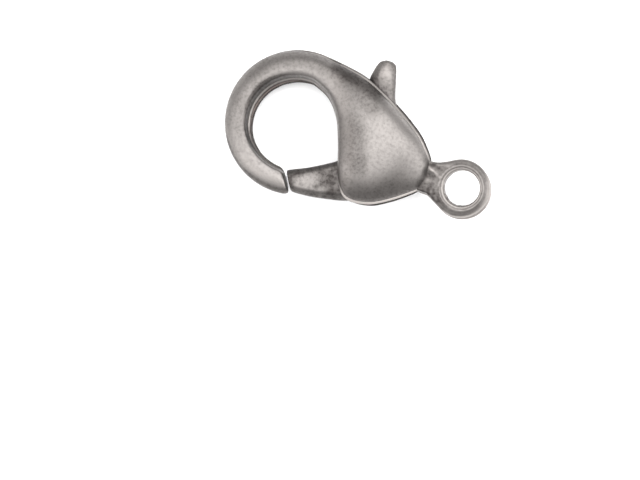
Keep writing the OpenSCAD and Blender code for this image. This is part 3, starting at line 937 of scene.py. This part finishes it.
# Spring's leg by the hub, as shares of hub_r from the pivot, then its leg by the pouch's end, as
# shares of the ring's radius from there
SPRING_FRONT = ((0.75, 1.25), (0.96, 0.80), (1.10, 0.30), (1.18, -0.20), (1.30, -0.62))
SPRING_REAR = ((-0.46, -0.50), (-0.33, -0.40), (-0.28, -0.10), (-0.30, 0.24), (-0.39, 0.46))
SPRING_STEPS = 8
SPRING_COLUMNS = 7
SPRING_ROUND = 0.02 * MM
# Edges that turn by more than this, in radians, are rounded
SHARP = 1.0
# Along the clasp, the strip stays still up to the first place and follows the lever from the second
SPRING_STILL = -2.55 * MM
SPRING_FOLLOWS = -3.50 * MM


def build_spring(s, material):
    """A flat strip bent along a smooth path"""
    pivot = Vector((-s.pivot_x, -s.pivot_drop))
    ring_r = s.ring_hole_r + s.ring_w
    end = Vector((POUCH[-1][0] * s.eye_x, 0))
    off = Vector((s.spring_gap + s.strip_t / 2, 0))
    keys = [pivot + Vector(p) * s.hub_r + off for p in SPRING_FRONT]
    keys += [end + Vector(p) * ring_r for p in SPRING_REAR]
    path = smoothed([list(p) for p in keys], SPRING_STEPS)
    bm = bmesh.new()

    def place(i, j, v):
        before, after = path[max(i - 1, 0)], path[min(i + 1, len(path) - 1)]
        along = (Vector(after) - Vector(before)).normalized()
        side = Vector((along.y, -along.x)) * s.strip_t / 2
        across = (j / (SPRING_COLUMNS - 1) - 0.5) * s.strip_w
        return Vector((path[i][0] + side.x, path[i][1] + side.y, across))

    bent_grid(bm, len(path), SPRING_COLUMNS, place)
    bmesh.ops.recalc_face_normals(bm, faces=bm.faces)
    bmesh.ops.solidify(bm, geom=bm.faces[:], thickness=s.strip_t)
    rims = [e for e in bm.edges if len(e.link_faces) == 2 and e.calc_face_angle(0) > SHARP]
    bmesh.ops.bevel(
        bm, geom=rims, offset=SPRING_ROUND, segments=2, profile=0.5, affect="EDGES", material=-1,
    )
    return finish_mesh(bm, "return_strip", s, material)


# Finishes

# How fine the noises are: the plating's clouds, spots and grain, drawn lines, the floor
CLOUD_SCALE = 1100.0
SPOT_SCALE = 6500.0
GRAIN_SCALE = 15000.0
LINE_SCALE = 5000.0
FLOOR_SCALE = 900.0
PIN_METAL = (0.42, 0.39, 0.35, 1.0)
SPRING_METAL = (0.45, 0.43, 0.41, 1.0)


class Nodes:
    """Adds shader nodes and links by short calls"""

    def __init__(self, name):
        self.material = bpy.data.materials.new(name)
        self.material.use_nodes = True
        self.tree = self.material.node_tree
        self.shader = self.tree.nodes["Principled BSDF"]

    def add(self, kind, inputs=None, **settings):
        node = self.tree.nodes.new(kind)
        for name, value in settings.items():
            setattr(node, name, value)
        for name, value in (inputs or {}).items():
            socket = node.inputs[name]
            if isinstance(value, bpy.types.NodeSocket):
                self.tree.links.new(value, socket)
            else:
                socket.default_value = value
        return node

    def link(self, output, socket):
        self.tree.links.new(output, socket)

    def maths(self, operation, a, b):
        return self.add("ShaderNodeMath", {0: a, 1: b}, operation=operation).outputs[0]

    def place(self):
        """The object's own coordinates"""
        return self.add("ShaderNodeTexCoord").outputs["Object"]

    def speckle(self, place, scale, detail=3.0, roughness=0.5):
        inputs = {"Vector": place, "Scale": scale, "Detail": detail, "Roughness": roughness}
        return self.add("ShaderNodeTexNoise", inputs).outputs[0]

    def bumps(self, height, strength, distance):
        """Gives the shader a fine relief"""
        relief = self.add("ShaderNodeBump", {
            "Strength": strength, "Distance": distance, "Height": height,
        })
        self.link(relief.outputs[0], self.shader.inputs["Normal"])

    def blend(self, factor, a, b):
        """A colour between a and b"""
        node = self.add("ShaderNodeMix", data_type="RGBA")
        for socket, value in ((node.inputs[0], factor), (node.inputs[6], a), (node.inputs[7], b)):
            if isinstance(value, bpy.types.NodeSocket):
                self.link(value, socket)
            else:
                socket.default_value = value
        return node.outputs[2]

    def stretch(self, value, low, high, to_low, to_high):
        """The value's range from low to high mapped to another range"""
        node = self.add("ShaderNodeMapRange", {
            "Value": value, "From Min": low, "From Max": high, "To Min": to_low, "To Max": to_high,
        })
        return node.outputs[0]


def plated(name, s, cloudy, flecked):
    """Antique silver plate: satin, cloudy, dark with patina and painted shade, and bright where rubbed or
    given painted highlights
    """
    n = Nodes(name)
    place = n.place()
    cloud = n.speckle(place, CLOUD_SCALE, 5.0, 0.6)
    spots = n.speckle(place, SPOT_SCALE, 3.0, 0.6)
    grain = n.speckle(place, GRAIN_SCALE, 3.0, 0.6)
    patina_and_shade, rubbed_and_sheen, inside = (
        n.add("ShaderNodeAttribute", attribute_name=mark).outputs["Fac"] for mark in MARKS
    )
    uneven = n.stretch(cloud, 0.3, 0.7, 1 - 0.75 * cloudy, 1 + 0.75 * cloudy)
    dark = n.maths("MULTIPLY", patina_and_shade, uneven)
    clouds = n.stretch(cloud, 0.35, 0.75, 0.04, 0.04 + cloudy)
    flecks = n.stretch(spots, 0.45, 0.8, 0.0, flecked)
    dark = n.maths("ADD", dark, n.maths("ADD", clouds, flecks))
    dark = n.add("ShaderNodeClamp", {"Value": dark}).outputs[0]
    base = n.blend(dark, tuple(s.silver), tuple(s.patina_and_shade))
    base = n.blend(n.maths("MULTIPLY", rubbed_and_sheen, 0.85), base, tuple(s.rubbed_and_sheen))
    base = n.blend(inside, base, tuple(s.inside))
    n.link(base, n.shader.inputs["Base Color"])
    n.shader.inputs["Metallic"].default_value = 1.0
    rough = n.maths("ADD", n.stretch(spots, 0.3, 0.7, 0.34, 0.50), n.maths("MULTIPLY", dark, 0.12))
    rough = n.maths("SUBTRACT", rough, n.maths("MULTIPLY", rubbed_and_sheen, 0.10))
    n.link(rough, n.shader.inputs["Roughness"])
    height = n.maths("ADD", n.maths("MULTIPLY", spots, 0.7), n.maths("MULTIPLY", grain, 0.35))
    n.bumps(height, 0.35, 0.02 * MM)
    return n.material


def drawn_metal(name, metal, roughness, scale):
    """Plain drawn metal with fine lines along the axis where the grain's scale is small"""
    n = Nodes(name)
    lines = n.add("ShaderNodeMapping", {"Vector": n.place(), "Scale": scale}).outputs[0]
    grain = n.speckle(lines, LINE_SCALE)
    darker = tuple(0.6 * c for c in metal[:3]) + (1.0,)
    colour = n.blend(n.stretch(grain, 0.3, 0.7, 0.0, 1.0), metal, darker)
    n.link(colour, n.shader.inputs["Base Color"])
    n.shader.inputs["Metallic"].default_value = 1.0
    n.link(n.stretch(grain, 0.3, 0.7, roughness, roughness + 0.15), n.shader.inputs["Roughness"])
    n.bumps(grain, 0.3, 0.01 * MM)
    return n.material


def floor_finish(s):
    """Matt, nearly even"""
    n = Nodes("pale_floor")
    grain = n.speckle(n.place(), FLOOR_SCALE)
    lighter = tuple(min(1.0, 1.02 * c) for c in s.floor[:3]) + (1.0,)
    n.link(n.blend(grain, tuple(s.floor), lighter), n.shader.inputs["Base Color"])
    n.shader.inputs["Roughness"].default_value = 0.8
    n.shader.inputs["Specular IOR Level"].default_value = 0.2
    return n.material


# Stage

# The camera looks straight down on this point, turned by this angle, and sees this width
VIEW_CENTRE = Vector((-6.148 * MM, -5.124 * MM, -1.0 * MM))
VIEW_TURN = math.radians(19.92)
VIEW_WIDTH = 33.965 * MM
CAMERA_HEIGHT = 0.3
CAMERA_RANGE = (0.005, 10.0)
SENSOR = 36.0
# The floor lies a hair under the lowest point, so that the rounded walls don't cut it
FLOOR_GAP = 0.004 * MM
FLOOR_HALF = 0.6
# Soft lights: name, place off the view's centre and height, size, power
LIGHTS = (
    ("overhead_softbox", (-0.04, 0.14, 0.40), 0.64, 3.2),
    ("side_fill", (0.34, 0.10, 0.25), 0.40, 1.0),
    ("left_fill", (-0.32, -0.14, 0.24), 0.40, 1.1),
)
ROOM_LIGHT = 0.94


def area_light(name, place, size, power_w, aim):
    """A round soft light that faces the aim"""
    data = bpy.data.lights.new(name, "AREA")
    data.shape = "DISK"
    data.size = size
    data.energy = power_w
    lamp = bpy.data.objects.new(name, data)
    lamp.location = place
    lamp.rotation_euler = (Vector(aim) - Vector(place)).to_track_quat("-Z", "Y").to_euler()
    bpy.context.scene.collection.objects.link(lamp)


def build_stage(s):
    """Floor, lights, room and camera"""
    bm = bmesh.new()
    bmesh.ops.create_grid(bm, x_segments=1, y_segments=1, size=FLOOR_HALF)
    under = (VIEW_CENTRE.x, VIEW_CENTRE.y, CAD_BOX[0][2] - FLOOR_GAP)
    bmesh.ops.translate(bm, verts=bm.verts, vec=under)
    mesh = bpy.data.meshes.new("floor")
    bm.to_mesh(mesh)
    bm.free()
    mesh.materials.append(floor_finish(s))
    ground = bpy.data.objects.new("floor", mesh)
    bpy.context.scene.collection.objects.link(ground)

    for name, (x, y, height), size, power_w in LIGHTS:
        area_light(name, (VIEW_CENTRE.x + x, VIEW_CENTRE.y + y, height), size, power_w, VIEW_CENTRE)
    world = bpy.data.worlds.new("studio")
    world.use_nodes = True
    world.node_tree.nodes["Background"].inputs[0].default_value = (1.0, 1.0, 1.0, 1.0)
    world.node_tree.nodes["Background"].inputs[1].default_value = ROOM_LIGHT
    bpy.context.scene.world = world
    bpy.context.scene.view_settings.view_transform = "Standard"

    data = bpy.data.cameras.new("camera")
    data.sensor_width = SENSOR
    data.lens = SENSOR * (CAMERA_HEIGHT - VIEW_CENTRE.z) / VIEW_WIDTH
    data.clip_start, data.clip_end = CAMERA_RANGE
    camera = bpy.data.objects.new("camera", data)
    camera.location = (VIEW_CENTRE.x, VIEW_CENTRE.y, CAMERA_HEIGHT)
    camera.rotation_euler = (0.0, 0.0, VIEW_TURN)
    bpy.context.scene.collection.objects.link(camera)
    bpy.context.scene.camera = camera


# Operators and panel


class CLASP_OT_stage(bpy.types.Operator):
    """Adds the floor, the soft light and the camera"""

    bl_idname = "clasp.stage"
    bl_label = "Stage"

    def execute(self, context):
        build_stage(context.scene.clasp)
        return {"FINISHED"}


class CLASP_OT_body(bpy.types.Operator):
    """Builds the folded sheet body: hook, pouch, neck and ring"""

    bl_idname = "clasp.body"
    bl_label = "Body"

    def execute(self, context):
        s = context.scene.clasp
        piece = build_body(s, plated("antique_silver_body", s, cloudy=0.10, flecked=0.24))
        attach(piece, "frame")
        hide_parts("body")
        return {"FINISHED"}


class CLASP_OT_lever(bpy.types.Operator):
    """Builds the lever: gate, hub with its bore, and trigger"""

    bl_idname = "clasp.lever"
    bl_label = "Lever"

    def execute(self, context):
        s = context.scene.clasp
        piece = build_lever(s, plated("antique_silver_lever", s, cloudy=0.27, flecked=0.31))
        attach(piece, "lever")
        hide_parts("lever")
        return {"FINISHED"}


class CLASP_OT_pin(bpy.types.Operator):
    """Gives the pivot pin its drawn metal"""

    bl_idname = "clasp.pin"
    bl_label = "Pivot pin"

    def execute(self, context):
        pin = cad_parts["pivot_pin"]
        finish = drawn_metal("drawn_pin", PIN_METAL, 0.3, (1.0, 1.0, 0.05))
        pin.data.materials.clear()
        pin.data.materials.append(finish)
        return {"FINISHED"}


class CLASP_OT_spring(bpy.types.Operator):
    """Builds the bent strip that closes the gate"""

    bl_idname = "clasp.spring"
    bl_label = "Return spring"

    def execute(self, context):
        s = context.scene.clasp
        piece = build_spring(s, drawn_metal("spring_steel", SPRING_METAL, 0.28, (0.1, 0.1, 1.0)))
        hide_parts("return_spring")
        turn = resting(s)
        start = turn @ Vector((SPRING_STILL, 0.0, 0.0))
        end = turn @ Vector((SPRING_FOLLOWS, 0.0, 0.0))
        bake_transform(piece, "frame", "lever", start=tuple(start), end=tuple(end))
        return {"FINISHED"}


class CLASP_PT_panel(bpy.types.Panel):
    """Lists the clasp's pieces and sizes"""

    bl_idname = "CLASP_PT_panel"
    bl_label = "Lobster clasp"
    bl_space_type = "VIEW_3D"
    bl_region_type = "UI"
    bl_category = "Clasp"

    def draw(self, context):
        for kind in STEPS:
            self.layout.operator(kind.bl_idname)
        for name in ClaspSizes.__annotations__:
            self.layout.prop(context.scene.clasp, name)


STEPS = (CLASP_OT_stage, CLASP_OT_body, CLASP_OT_lever, CLASP_OT_pin, CLASP_OT_spring)
CLASSES = (ClaspSizes, *STEPS, CLASP_PT_panel)


def register():
    for kind in CLASSES:
        bpy.utils.register_class(kind)
    bpy.types.Scene.clasp = bpy.props.PointerProperty(type=ClaspSizes)


def unregister():
    del bpy.types.Scene.clasp
    for kind in reversed(CLASSES):
        bpy.utils.unregister_class(kind)


def main():
    register()
    for step in STEPS:
        group, name = step.bl_idname.split(".")
        getattr(getattr(bpy.ops, group), name)()


if __name__ == "__main__":
    main()
